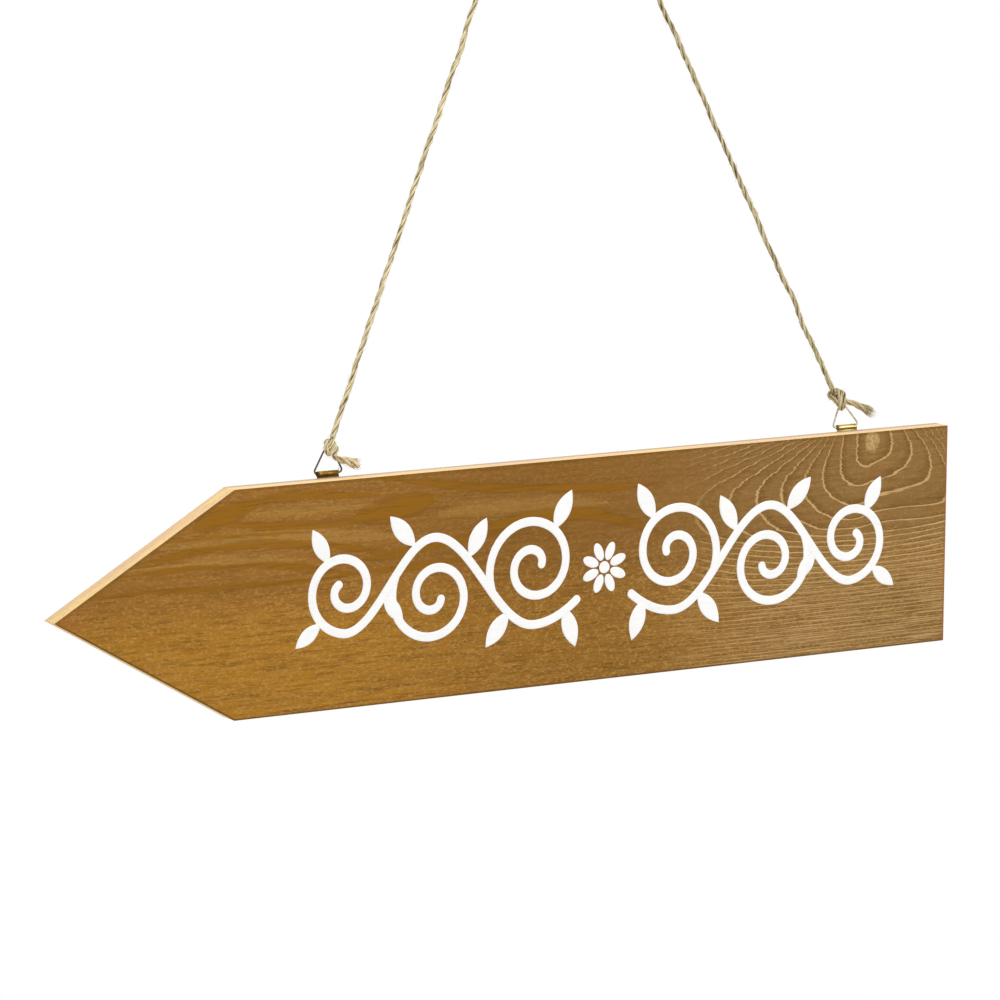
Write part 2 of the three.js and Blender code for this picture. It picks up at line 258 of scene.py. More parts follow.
def smoothLine(points, step):  # a smooth line through given points, in even steps
    points = [Vector(p) for p in points]
    ends = [2 * points[0] - points[1], *points, 2 * points[-1] - points[-2]]
    fine = []
    for a, b, c, d in zip(ends, ends[1:], ends[2:], ends[3:]):
        t1 = (b - a).length ** 0.5
        t2 = t1 + (c - b).length ** 0.5
        t3 = t2 + (d - c).length ** 0.5
        for k in range(20):
            t = t1 + (t2 - t1) * k / 20
            ab, cd = a.lerp(b, t / t1), c.lerp(d, (t - t2) / (t3 - t2))
            bc = b.lerp(c, (t - t1) / (t2 - t1))
            first, second = ab.lerp(bc, t / t2), bc.lerp(cd, (t - t1) / (t3 - t1))
            fine.append(first.lerp(second, (t - t1) / (t2 - t1)))
    fine.append(points[-1])
    return evenSteps(fine, step)


def evenSteps(line, step):
    lengths = [0.0]
    for a, b in zip(line, line[1:]):
        lengths.append(lengths[-1] + (b - a).length)
    count = max(2, round(lengths[-1] / step))
    even, at = [], 0
    for k in range(count + 1):
        distance = lengths[-1] * k / count
        while at < len(line) - 2 and lengths[at + 1] < distance:
            at += 1
        share = (distance - lengths[at]) / (lengths[at + 1] - lengths[at])
        even.append(line[at].lerp(line[at + 1], share))
    return even


def roundedCorners(corners, radii, steps):  # straight runs joined by arcs
    line = []
    for before, corner, after, radius in zip(corners, corners[1:], corners[2:], radii):
        back, ahead = (before - corner).normalized(), (after - corner).normalized()
        half = back.angle(ahead) / 2
        middle = corner + radius / math.sin(half) * (back + ahead).normalized()
        first = corner + radius / math.tan(half) * back - middle
        last = corner + radius / math.tan(half) * ahead - middle
        line += [middle + first.slerp(last, k / steps).normalized() * radius for k in range(steps + 1)]
    return [corners[0], *line, corners[-1]]


def frames(line, side):  # direction, side and up at each point, carried along without twist
    found = []
    for i in range(len(line)):
        ahead = (line[min(i + 1, len(line) - 1)] - line[max(i - 1, 0)]).normalized()
        side = (side - side.dot(ahead) * ahead).normalized()
        found.append((ahead, side, ahead.cross(side)))
    return found


def tubesMesh(name, tubes, resolution, material):  # tubes are (points, radii); their ends stay open
    curve = bpy.data.curves.new(name, "CURVE")
    curve.dimensions = "3D"
    curve.bevel_depth = 1
    curve.bevel_resolution = resolution
    for points, radii in tubes:
        spline = curve.splines.new("POLY")
        spline.points.add(len(points) - 1)
        for slot, point, radius in zip(spline.points, points, radii):
            slot.co = (*point, 1)
            slot.radius = radius
    holder = bpy.data.objects.new(name, curve)
    scene.collection.objects.link(holder)
    mesh = bpy.data.meshes.new_from_object(holder.evaluated_get(bpy.context.evaluated_depsgraph_get()))
    mesh.name = name
    mesh.materials.clear()
    mesh.materials.append(material)
    bpy.data.objects.remove(holder)
    bpy.data.curves.remove(curve)
    return mesh


def closeEnds(bm):
    bmesh.ops.holes_fill(bm, edges=[e for e in bm.edges if e.is_boundary], sides=0)


# Jute: each rope mesh carries fibreMap, which is the distance along a strand and the place round it,
# and layDepth, which is the distance from the rope's middle as a share of its radius.

jute = {
    "diameter": 3 * mm,
    "plies": 3,
    "pitch": 23 * mm,
    "plyRadius": 0.80 * mm,
    "plyOffset": 0.70 * mm,
    "step": 0.9 * mm,
    "knotStep": 0.7 * mm,
    "wobble": 7 * mm,  # the length over which a ply strays from its helix
    "swell": 5 * mm,  # the length over which it grows thick and thin
    "hairRadius": 0.05 * mm,
    "hairLength": (1.5, 5.0),  # millimetres
    "hairSway": 1.2 * mm,
    "frayRadius": 0.11 * mm,
    "pale": (0.86, 0.74, 0.47),
    "straw": (0.50, 0.40, 0.21),
    "olive": (0.24, 0.185, 0.075),
    "shadow": (0.10, 0.066, 0.02),
}


def juteMaterial():
    material, tree, shader = newMaterial("natural_jute")
    along = addNode(tree, "ShaderNodeAttribute", attribute_name="fibreMap").outputs["Vector"]
    depth = addNode(tree, "ShaderNodeAttribute", attribute_name="layDepth").outputs["Fac"]
    fibres = stretchedNoise(tree, along, (110, 1.9, 1.9), detail=4, roughness=0.66)
    patches = stretchedNoise(tree, along, (75, 0.5, 0.5))
    right = ramp(tree, parts(tree, objectPlace(tree))["X"], -0.03, 0.05)  # the right run is darker
    strand = mixColour(tree, ramp(tree, fibres, 0.36, 0.6), jute["straw"], jute["pale"])
    strand = mixColour(tree, ramp(tree, patches, 0.5, 0.7, 0, 0.8), strand, jute["olive"])
    strand = mixColour(tree, times(tree, right, 0.3), strand, jute["olive"])
    strand = mixColour(tree, ramp(tree, depth, 0.58, 0.9, 0.95, 0), strand, jute["shadow"])
    finishShader(tree, shader, strand, 0.86, fibres, 0.6, 0.3 * mm)
    shader.inputs["Specular IOR Level"].default_value = 0.3
    return material


def same(share):
    return 1


def ropeStrands(line, side, rng, opening, thickness):
    steps = [(b - a).length for a, b in zip(line, line[1:])] + [0]
    around = frames(line, side)
    start = rng.uniform(0, math.tau)
    tubes = []
    for ply in range(jute["plies"]):
        along, points, radii, seed = 0.0, [], [], rng.uniform(0, 100)
        for i, (point, (_, out, up)) in enumerate(zip(line, around)):
            share = i / (len(line) - 1)
            wobble = noise.noise(Vector((along / jute["wobble"], seed, 0)))
            swell = noise.noise(Vector((along / jute["swell"], seed, 7)))
            angle = start + math.tau * (ply / jute["plies"] + along / jute["pitch"]) + 0.5 * wobble
            offset = jute["plyOffset"] * opening(share) * (1 + 0.35 * wobble)
            points.append(point + offset * (math.cos(angle) * out + math.sin(angle) * up))
            radii.append(jute["plyRadius"] * thickness(share) * (1 + 0.35 * swell))
            along += steps[i]
        tubes.append((points, radii))
    return tubes


def strayHairs(line, side, rng, count, reach):  # loose hairs that leave the rope and lie along it
    found = []
    around = frames(line, side)
    for _ in range(count):
        at = rng.randrange(1, len(line) - 1)
        ahead, out, up = around[at]
        angle = rng.uniform(0, math.tau)
        lift = math.cos(angle) * out + math.sin(angle) * up
        length = rng.choice((-1, 1)) * rng.uniform(*jute["hairLength"]) * mm
        rise = rng.uniform(0.25, 1.0) ** 2 * reach
        sway = rng.uniform(-1, 1) * jute["hairSway"] * ahead.cross(lift)
        base = line[at] + 0.36 * jute["diameter"] * lift
        points = []
        for share in (0, 0.25, 0.5, 0.75, 1):
            lifted = base + math.sin(share * 2) * rise * lift
            points.append(lifted + share * length * ahead + share ** 2 * sway)
        found.append((points, [jute["hairRadius"] * k for k in (1, 1, 0.9, 0.7, 0.3)]))
    return found


def writeFibreMap(mesh, tubes, line=None):
    rings = sum(len(points) for points, _ in tubes)
    around = len(mesh.vertices) // rings
    fibreMap, layDepth, at = [], [], 0
    for tube, (points, radii) in enumerate(tubes):
        along = 20 * mm * tube
        for i, point in enumerate(points):
            for j in range(around):
                turn = math.tau * j / around
                fibreMap += [along, math.cos(turn) + 5 * tube, math.sin(turn)]
                reach = (mesh.vertices[at].co - line[i]).length if line else jute["diameter"]
                layDepth.append(reach / (0.5 * jute["diameter"]))
                at += 1
            along += (points[i + 1] - point).length if i + 1 < len(points) else 0
    mesh.attributes.new("fibreMap", "FLOAT_VECTOR", "POINT").data.foreach_set("vector", fibreMap)
    mesh.attributes.new("layDepth", "FLOAT", "POINT").data.foreach_set("value", layDepth)


def ropeMesh(name, line, side, rng, hairs, opening=same, thickness=same):
    strands = ropeStrands(line, side, rng, opening, thickness)
    rope = tubesMesh(name + "_strands", strands, 3, juteLook)
    writeFibreMap(rope, strands, line)
    loose = tubesMesh(name + "_hairs", hairs, 0, juteLook)
    writeFibreMap(loose, hairs)
    bm = bmesh.new()
    bm.from_mesh(rope)
    bm.from_mesh(loose)
    closeEnds(bm)
    return finishMesh(name, bm, juteLook)


juteLook = juteMaterial()

# The twine's route in X and Z, from the left knot over the peg to the right knot.
twine = {
    "route": [
        (-137.6, -343.4), (-123.3, -306.0), (-105.5, -259.3), (-87.7, -212.6), (-69.8, -165.9),
        (-52.0, -119.2), (-34.2, -72.5), (-19.9, -35.1), (-11.0, -11.8), (-5.6, 2.1),
        (-4.4, 4.1), (-2.5, 5.4), (-0.4, 6.0), (1.9, 5.7), (3.9, 4.6), (5.3, 2.8),
        (12.4, -10.4), (24.2, -32.4), (45.5, -72.0), (69.2, -116.1), (92.9, -160.1),
        (116.6, -204.1), (140.2, -248.2), (163.9, -292.2), (189.9, -340.6),
    ],
    "length": 0.773,
    "wave": 1.1 * mm,
    "waveLength": 19 * mm,
    "hairs": 700,
    "reach": 1.9 * mm,
    "seed": 11,
}


def makeTwine(spec):
    rng = random.Random(spec["seed"])
    line = smoothLine([(x * mm, 0, z * mm) for x, z in spec["route"]], jute["step"])
    side = Vector((0, 1, 0))
    waved = []
    for i, (point, (_, out, up)) in enumerate(zip(line, frames(line, side))):
        place = i * jute["step"] / spec["waveLength"]
        overPeg = (abs(point.z) - 8 * mm) / (20 * mm)  # no wave at the knots and on the peg
        free = max(0, min(1, i / 20, (len(line) - 1 - i) / 20, overPeg))
        sway = noise.noise(Vector((place, 3, 0))) * up + noise.noise(Vector((place, 9, 0))) * out
        waved.append(point + free * spec["wave"] * sway)
    line = evenSteps(waved, jute["step"])
    hairs = strayHairs(line, side, rng, spec["hairs"], spec["reach"])
    mesh = ropeMesh("hanging_twine", line, side, rng, hairs)
    return addPiece("laid_twine", mesh, "twine", "hanging_twine", 80), line


laidTwine, twineLine = makeTwine(twine)
print("twine laid:", len(laidTwine.data.polygons), "faces")


# Knots and tails. Each knot's strand is one path, measured from the apex of its wire ring: down
# behind the wire, under it, and round itself. The tail carries on from the knot's last turn.

apexZ = -347.15
knots = {
    "left": {
        "apexX": -141,
        "seed": 21,
        "tailSeed": 5,
        "path": [
            (3.9, 0.0, 5.0), (3.3, 0.2, 2.4), (2.4, 1.7, -0.6), (1.0, 1.7, -2.9), (-0.2, -0.2, -4.2),
            (-1.7, -2.1, -3.3), (-2.5, -2.5, -1.3), (-1.6, -1.6, 0.2), (0.6, 1.2, 1.0), (2.8, 3.0, 0.6),
            (4.8, 2.1, -0.4), (5.0, -0.2, -1.7), (4.4, -2.4, -3.2), (3.0, -3.2, -5.0), (2.6, -3.1, -6.2),
        ],
        "wraps": [
            [(3.5, 0.5, 1.0), (2.8, -1.9, 0.0), (1.6, -3.1, -1.9), (0.5, -3.0, -4.0), (0.0, -1.2, -5.2),
             (1.0, 1.0, -4.7)],
            [(1.2, 2.4, 0.2), (2.4, 2.9, -1.8), (3.3, 2.2, -3.8), (3.0, 0.2, -5.2), (2.2, -1.4, -4.8)],
            [(3.4, 0.6, 0.6), (1.8, 0.1, -0.8), (0.7, -0.5, -2.4), (1.6, -0.9, -4.4)],
            [(-1.4, -1.0, -2.6), (-0.3, -1.9, -1.7), (0.7, -1.9, -0.7), (1.9, -1.2, 0.5), (2.6, -0.2, 1.6)],
        ],
        "tail": [
            (2.4, -3.2, -5.4), (3.2, -2.9, -7.0), (6.5, -2.5, -8.4), (11.2, -1.8, -9.9),
            (15.2, -1.1, -11.3), (18.3, -0.5, -12.3),
        ],
        "hairs": 40,
        "frays": 110,
        "spread": 2.7 * mm,
        "opening": 1.9,
        "swing": 1.2,
        "taper": 0,
    },
    "right": {
        "apexX": 197.08,
        "seed": 34,
        "tailSeed": 8,
        "path": [
            (-7.9, 0.0, 7.8), (-6.4, 0.3, 5.0), (-4.4, 1.8, 2.0), (-2.4, 2.2, -1.0), (-0.8, 0.8, -3.4),
            (-2.0, -1.6, -3.6), (-4.6, -2.5, -1.4), (-7.0, -2.0, 0.8), (-8.4, -0.2, 2.0), (-7.2, 2.6, 3.0),
            (-4.6, 3.4, 4.4), (-2.4, 1.4, 5.0), (-2.8, -1.2, 3.9), (-3.6, -3.2, 1.2), (-3.8, -3.8, -1.8),
            (-2.6, -2.4, -4.3), (-0.8, -0.2, -5.0),
        ],
        "wraps": [
            [(-2.4, 2.8, 3.6), (-0.6, 2.0, 4.3), (0.3, -0.2, 3.6), (-0.6, -2.1, 1.1), (-0.9, -2.5, -1.8),
             (-0.6, -1.2, -4.2), (-0.6, 1.2, -4.8)],
            [(-6.0, 0.8, 3.4), (-3.4, 0.7, 2.6), (-1.6, 0.5, 0.8), (-1.4, 0.3, -1.6), (-1.2, 0.0, -3.6)],
        ],
        "tail": [
            (-0.6, -1.2, 0.6), (1.0, -2.0, -0.8), (3.6, -2.6, -1.6), (9.1, -2.6, -3.7),
            (14.8, -2.2, -6.3), (19.0, -1.8, -8.5),
        ],
        "hairs": 64,
        "frays": 190,
        "spread": 2.5 * mm,
        "opening": 1.35,
        "swing": 0.4,
        "taper": 0.75,
    },
}


def fromApex(spec, points):
    return [Vector(((spec["apexX"] + x) * mm, y * mm, (apexZ + z) * mm)) for x, y, z in points]


def frayedEnd(line, side, rng, spec):  # the opened strands' own fibres, fanning out to the end
    around = frames(line, side)
    found = []
    for _ in range(spec["frays"]):
        start = rng.uniform(0.05, 0.55)
        angle = rng.uniform(0, math.tau)
        inner, outer = rng.uniform(0.5, 1.2) * mm, rng.uniform(0.3, 1.0) * spec["spread"]
        swing, over = rng.uniform(-spec["swing"], spec["swing"]), rng.uniform(-0.12, 0.1)
        points, radii = [], []
        for k in range(9):
            share = start + (1 - start + over) * k / 8
            at = min(len(line) - 1, int(share * (len(line) - 1)))
            ahead, out, up = around[at]
            beyond = max(0, share - 1) * len(line) * jute["step"] * ahead
            turn = angle + swing * share
            reach = inner + (outer - inner) * (k / 8) ** 1.5 + 0.8 * mm * (k / 8)
            points.append(line[at] + beyond + reach * (math.cos(turn) * out + math.sin(turn) * up))
            radii.append(jute["frayRadius"] * (1 - 0.6 * (k / 8) ** 2))
        found.append((points, radii))
    return found


def tieKnot(key, spec):
    rng = random.Random(spec["seed"])
    side = Vector((0, 1, 0))
    bm = bmesh.new()
    for path in (spec["path"], *spec["wraps"]):
        line = smoothLine(fromApex(spec, path), jute["knotStep"])
        hairs = strayHairs(line, side, rng, spec["hairs"] * len(path) // 20, 1.6 * mm)
        bm.from_mesh(ropeMesh("turn", line, side, rng, hairs))
    tied = finishMesh("knot_" + key, bm, juteLook)
    rng = random.Random(spec["tailSeed"])
    tail = smoothLine(fromApex(spec, spec["tail"]), jute["knotStep"])
    frays = frayedEnd(tail, side, rng, spec) + strayHairs(tail, side, rng, 16, 1.5 * mm)

    def opening(share):
        return 1 + spec["opening"] * share ** 1.2

    def thickness(share):
        return (0.9 + 0.45 * share) * (1 - spec["taper"] * max(0, share - 0.6) / 0.4)

    frayed = ropeMesh("tail_" + key, tail, side, rng, frays, opening, thickness)
    return (
        addPiece("tied_knot_" + key, tied, "twine", "knot_" + key, 80),
        addPiece("frayed_tail_" + key, frayed, "twine", "twine_tail_" + key, 80),
    )


tiedPieces = [piece for key, spec in knots.items() for piece in tieKnot(key, spec)]
print("knots tied and tails frayed")


# Hangers: a triangle ring of bent wire in the eye of each strap

ring = {
    "wire": 1.0 * mm,
    "base": 19.0 * mm,
    "cornerRadius": 1.6 * mm,
    "apexRadius": 2 * mm,
    "endGap": 0.6 * mm,
    "eyeZ": -363 * mm,
}
strap = {
    "width": 13 * mm,
    "sheet": 0.8 * mm,
    "length": 30 * mm,
    "lip": 1.4 * mm,
    "cornerRadius": 5 * mm,
    "eyeRadius": 1.4 * mm,
    "edgeBevel": 0.18 * mm,
}
screw = {
    "shank": 2.9 * mm,
    "head": 6 * mm,
    "headHeight": 1.7 * mm,
    "headRim": 0.3 * mm,
    "depth": 9 * mm,
    "point": 2 * mm,
    "fromEye": (9.5 * mm, 21 * mm),
    "recessWidth": 0.9 * mm,
    "recessLength": 3.4 * mm,
    "recessDepth": 0.9 * mm,
}
hangers = {  # each ring is shifted aside from its strap, and its apex is measured from the eye
    "left": {"centre": -141 * mm, "aside": 0.6 * mm, "apex": (0.1 * mm, 17.2 * mm)},
    "right": {"centre": 200 * mm, "aside": 0, "apex": (-4.0 * mm, 15.6 * mm)},
}


def tarnishGroup():
    group, given, result = newGroup("tarnish", [
        ("Bright", "NodeSocketColor", (0.8, 0.6, 0.3, 1)),
        ("Dull", "NodeSocketColor", (0.3, 0.2, 0.1, 1)),
        ("Amount", "NodeSocketFloat", 0.5),
        ("Scale", "NodeSocketFloat", 300.0),
        ("Rough", "NodeSocketFloat", 0.16),
    ], [("Color", "NodeSocketColor"), ("Roughness", "NodeSocketFloat"), ("Height", "NodeSocketFloat")])
    place = objectPlace(group)
    blotches = noiseValue(group, place, given["Scale"], detail=5, roughness=0.65)
    brushed = mapped(group, place, (0.25, 3, 3))
    fine = noiseValue(group, brushed, times(group, given["Scale"], 6), detail=2)
    spots = times(group, ramp(group, blotches, 0.42, 0.66), given["Amount"])
    group.links.new(mixColour(group, spots, given["Bright"], given["Dull"]), result["Color"])
    rough = scaled(group, fine, 0.16, scaled(group, spots, 0.3, given["Rough"]))
    group.links.new(rough, result["Roughness"])
    group.links.new(scaled(group, fine, 0.5, blotches), result["Height"])
    return group


tarnish = tarnishGroup()


def eyeShade(tree, centre):  # painted shade below the eye and in the left end of its roll
    where = parts(tree, objectPlace(tree))
    eyeZ, leftEnd = ring["eyeZ"], centre - strap["width"] / 2
    under = times(tree, ramp(tree, where["Z"], eyeZ - 0.9 * mm, eyeZ + 0.1 * mm, 0.85, 0),
                  ramp(tree, where["Z"], eyeZ - 3.5 * mm, eyeZ - 3.0 * mm))
    inEnd = ramp(tree, where["X"], leftEnd + 0.6 * mm, leftEnd + 1.6 * mm, 0.9, 0)
    return calc(tree, "MAXIMUM", under, inEnd)


def metalMaterial(name, bright, dull, amount, scale, rough=0.16, shadedHanger=None):
    material, tree, shader = newMaterial(name)
    worn = addNode(tree, "ShaderNodeGroup", node_tree=tarnish)
    finish = {"Bright": bright, "Dull": dull, "Amount": amount, "Scale": scale, "Rough": rough}
    for key, value in finish.items():
        setInput(tree, worn.inputs[key], value)
    colour = worn.outputs["Color"]
    # painted shade: a darker copy of the dull brass, under the eye and in the left end of the roll
    if shadedHanger:
        colour = mixColour(tree, eyeShade(tree, shadedHanger["centre"]), colour, [0.4 * value for value in dull])
    finishShader(tree, shader, colour, worn.outputs["Roughness"], worn.outputs["Height"], 0.15, 0.05 * mm)
    shader.inputs["Metallic"].default_value = 1
    return material


metals = {
    # the left strap's brass is coloured darker than the right's: painted shade for the darker surroundings it
    # reflects, over real tarnish blotches
    "leftStrap": metalMaterial("tarnished_and_shaded_brass", (0.33, 0.185, 0.030), (0.14, 0.062, 0.010), 0.6, 300,
                               rough=0.36, shadedHanger=hangers["left"]),
    "rightStrap": metalMaterial("bright_brass", (0.66, 0.53, 0.22), (0.38, 0.25, 0.06), 0.5, 300,
                                shadedHanger=hangers["right"]),
    "leftWire": metalMaterial("dull_wire", (0.11, 0.105, 0.055), (0.045, 0.04, 0.02), 0.6, 500),
    "rightWire": metalMaterial("bright_wire", (0.62, 0.60, 0.47), (0.22, 0.20, 0.12), 0.8, 260),
    "screw": metalMaterial("brassed_screw", (0.62, 0.46, 0.19), (0.30, 0.20, 0.07), 0.5, 500),
    "peg": metalMaterial("turned_brass", (0.66, 0.48, 0.19), (0.38, 0.25, 0.08), 0.4, 160),
}
print("metals ready")


def bendRing(key, spec):
    def at(x, z):
        return Vector((spec["centre"] + spec["aside"] + x, 0, ring["eyeZ"] + z))

    corners = [
        at(ring["endGap"] / 2, 0), at(ring["base"] / 2, 0), at(*spec["apex"]),
        at(-ring["base"] / 2, 0), at(-ring["endGap"] / 2, 0),
    ]
    radii = (ring["cornerRadius"], ring["apexRadius"], ring["cornerRadius"])
    line = evenSteps(roundedCorners(corners, radii, 16), 0.35 * mm)
    wire = tubesMesh("ring_" + key, [(line, [ring["wire"] / 2] * len(line))], 5, metals[key + "Wire"])
    bm = bmesh.new()
    bm.from_mesh(wire)
    closeEnds(bm)
    bevelEdges(bm, sharpEdges(bm), 0.15 * mm, 2)
    mesh = finishMesh("ring_" + key, bm, metals[key + "Wire"])
    addPiece("bent_ring_" + key, mesh, "twine", "triangle_ring_" + key)


# A plate of folded sheet on the board's back, rolled at the top into an eye.
def foldStrap(key, spec):
    x, eyeZ = spec["centre"], ring["eyeZ"]
    half, sheet, eyeRadius = strap["width"] / 2, strap["sheet"], strap["eyeRadius"]
    low, high = eyeZ - strap["length"], eyeZ - 1.2 * mm
    bm = bmesh.new()
    plate = [(-half, high), (-half, low), (half, low), (half, high)]
    bm.faces.new([bm.verts.new((x + aside, boardHigh.y, z)) for aside, z in plate])
    corners = [v for v in bm.verts if v.co.z < low + 1e-6]
    bmesh.ops.bevel(bm, geom=corners, offset=strap["cornerRadius"], offset_type="OFFSET", segments=10,
                    profile=0.5, affect="VERTICES", material=-1)
    extrudeFlat(bm, bm.faces[:], 2 * sheet)
    bevelEdges(bm, sharpEdges(bm), strap["edgeBevel"], 3)
    # the front sheet goes straight up into the eye
    lip = bmesh.ops.create_cube(bm, size=1)["verts"]
    bmesh.ops.scale(bm, verts=lip, vec=(strap["width"], sheet, strap["lip"]))
    bmesh.ops.translate(bm, verts=lip, vec=(x, sheet / 2 - eyeRadius, eyeZ - strap["lip"] / 2))
    # the eye: a strip's section, turned about the eye's axis
    inner = eyeRadius - sheet
    section = [(-half, inner), (half, inner), (half, eyeRadius), (-half, eyeRadius)]
    loop = [bm.verts.new((x + aside, 0, eyeZ + r)) for aside, r in section]
    edges = [bm.edges.new((loop[i], loop[(i + 1) % 4])) for i in range(4)]
    bmesh.ops.spin(bm, geom=loop + edges, cent=(x, 0, eyeZ), axis=(1, 0, 0), dvec=(0, 0, 0),
                   angle=math.tau, steps=40, use_merge=True)
    bmesh.ops.remove_doubles(bm, verts=bm.verts, dist=0.005 * mm)
    bevelEdges(bm, sharpEdges(bm), strap["edgeBevel"], 2)
    mesh = finishMesh("strap_" + key, bm, metals[key + "Strap"])
    addPiece("folded_strap_" + key, mesh, "board", "hanger_strap_" + key)


def crossRecess(mesh, centre, turn):  # two crossed slots cut into a screw's head
    body = bpy.data.objects.new("screw", mesh)
    scene.collection.objects.link(body)
    size = (screw["recessLength"], 2 * screw["recessDepth"], screw["recessWidth"])
    cutters = []
    for angle in (turn, turn + math.pi / 2):
        bm = bmesh.new()
        slot = bmesh.ops.create_cube(bm, size=1)["verts"]
        bmesh.ops.scale(bm, verts=slot, vec=size)
        bmesh.ops.rotate(bm, verts=slot, cent=(0, 0, 0), matrix=Matrix.Rotation(angle, 3, "Y"))
        bmesh.ops.translate(bm, verts=slot, vec=centre)
        cutter = bpy.data.objects.new("slot", finishMesh("slot", bm))
        scene.collection.objects.link(cutter)
        cut = body.modifiers.new("slot", "BOOLEAN")
        cut.operation, cut.solver, cut.object = "DIFFERENCE", "EXACT", cutter
        cutters.append(cutter)
    slotted = bpy.data.meshes.new_from_object(body.evaluated_get(bpy.context.evaluated_depsgraph_get()))
    for each in (body, *cutters):
        bpy.data.objects.remove(each)
    return slotted


def driveScrews(key, spec):
    face = boardHigh.y + 2 * strap["sheet"]
    seat, top, tip = face + 0.02 * mm, face + screw["headHeight"], face - screw["depth"]
    head, shank, rim = screw["head"] / 2, screw["shank"] / 2, screw["headRim"]
    profile = [(0, top)]
    for k in range(1, 9):
        turn = math.pi / 2 * k / 8
        profile.append((head * math.sin(turn), face + rim + (top - face - rim) * math.cos(turn)))
    profile += [(head, seat), (shank, seat), (shank, tip + screw["point"]), (0, tip)]
    for number, down in enumerate(screw["fromEye"], 1):
        name, z = f"{key}_{number}", ring["eyeZ"] - down
        bm = bmesh.new()
        turnedShape(bm, profile, (spec["centre"], 0, z))
        mesh = finishMesh("screw_" + name, bm, metals["screw"])
        mesh = crossRecess(mesh, (spec["centre"], top, z), 0.5 * number)
        addPiece("driven_screw_" + name, mesh, "board", "strap_screw_" + name)


for key, spec in hangers.items():
    bendRing(key, spec)
for key, spec in hangers.items():
    foldStrap(key, spec)
    driveScrews(key, spec)
print("rings bent, straps folded and screws driven")


# Wall peg

pegProfile = [  # radius and place along Y, from the front
    (0, -14.0), (3.6, -13.95), (4.9, -13.8), (6.1, -13.4), (7.0, -12.8), (7.42, -12.1), (7.42, -11.8),
    (7.0, -11.1), (6.2, -10.6), (5.3, -10.1), (4.6, -9.6), (4.28, -9.1), (4.2, -8.6), (4.2, 7.33),
    (5.85, 7.33), (6.0, 7.5), (6.0, 9.15), (5.85, 9.33), (2.94, 9.33), (2.94, 17.8), (2.2, 19.0), (0, 22.0),
]


def turnPeg():
    bm = bmesh.new()
    turnedShape(bm, [(r * mm, y * mm) for r, y in pegProfile], (0, 0, 0), 72)
    mesh = finishMesh("peg", bm, metals["peg"])
    return addPiece("turned_peg", mesh, "peg", "wall_peg", 25)


turnPeg()
print("peg turned")


# Board. Lengths along it are from the tip and depths are from the top edge, all in millimetres.

boardLength = (boardHigh.x - boardLow.x) / mm
boardHeight = (boardHigh.z - boardLow.z) / mm
board = {
    "point": 108,
    "edgeBreak": 0.45 * mm,
    "knot": (522, 6),
    "left": (0.290, 0.127, 0.024),
    "right": (0.325, 0.177, 0.057),
    "gold": (0.390, 0.173, 0.018),
    "amber": (0.260, 0.108, 0.0),
    "dark": (0.120, 0.055, 0.010),
    "pale": (0.520, 0.310, 0.080),
    "raised": (0.550, 0.355, 0.150),
    "reddish": (0.330, 0.110, 0.035),
    "raw": (0.94, 0.67, 0.29),
    "rawPink": (0.86, 0.57, 0.31),
    "rawDark": (0.52, 0.31, 0.13),
    "rawGrey": (0.44, 0.33, 0.28),
}
# Each amber or pale band: from and to, its depth at the start, middle and end, and its width.
amberBands = [
    (82, 122, 18, 13.5, 8, 6.5), (94, 200, 10, 7, 11, 2.6), (88, 222, 16, 22.5, 19, 2.6),
    (182, 232, 20.5, 18.5, 15, 7.5), (48, 212, 36, 31, 45, 2.6), (30, 192, 43, 41.5, 54, 2.0),
    (16, 178, 50, 52, 53, 1.6), (186, 280, 44, 40.5, 36, 3.2), (245, 388, 40, 30, 50, 4.2),
    (196, 384, 0, 13.5, 18, 3.0), (170, 262, 52, 51, 49, 2.0), (50, 150, 25, 25, 27, 1.4),
]
paleBands = [
    (60, 218, 28, 27.5, 34, 4.5), (112, 196, 14, 14.5, 15, 3.2), (232, 345, 24, 23, 26, 5.5),
    (40, 150, 38, 37, 41, 2.4),
]
# Where the stain changes: from, to, and the strength at each of the two, unless it is 0 and 1 or worked out.
stain = {
    "rightward": (310, 480),
    "goldDown": (48, 85),
    "goldAlong": (170, 340, 0.95, 0.4),
    "goldEnd": (380, 500, 1, 0),
    "shadeAlong": (150, 300),
    "shadeDown": (40, 100, 0.34),
    "shadeAtFoot": (380, 510, 0.23, 0.09),
    "cornerAlong": (510, 565),
    "cornerDown": (88, 115, 0, 0.28),
    "amberEnd": (345, 392, 1, 0.25),
    "quietDown": (40, 75),
    "quietAlong": (160, 300, 0.65, 1),
    "threadDown": (45, 115, 0.06, 0.64),
    "threadAlong": (360, 470, 0.25, 1),
    "ringsFrom": (405, 480),
    "ringsFade": (66, 92, 1, 0.65),
    "topLine": (0.5, 2.2, 0.4, 0),
    "bottomLine": (0.5, 1.5, 0.8, 0),
    "reddishEnd": (boardLength - 2.4, boardLength - 0.6, 0, 0.6),
    "reddishTip": (2, 22, 0.35, 0),
}
# The growth rings: how far the rings' lowest points sink beside the knot, and how many rings there are.
# A pair is the value that is reached leftwards and the distance over which it is reached.
growth = {
    "sinkLeft": (33.0, 45.0),
    "sinkRight": 0.0096,  # times the distance squared
    "ringsLeft": (13.6, 135.0),
    "pitchRight": 13.9,
    "pitchUnder": (10, 60, 12.6, 10.6),
    "pitchOver": 9.7,
    "uprightLeft": (350.0, 6.5),  # close to the knot, where the rings run straight up; fades over the distance
    "uprightRight": (60.0, 5.0),
    "flatFrom": 32.3,
    "flatRings": 0.278,  # per millimetre, and how much closer they get with each
    "flatCloser": 0.0012,
    "bowReach": 150.0,
    "bow": (50, 88, 0.001, 0.0001),
}


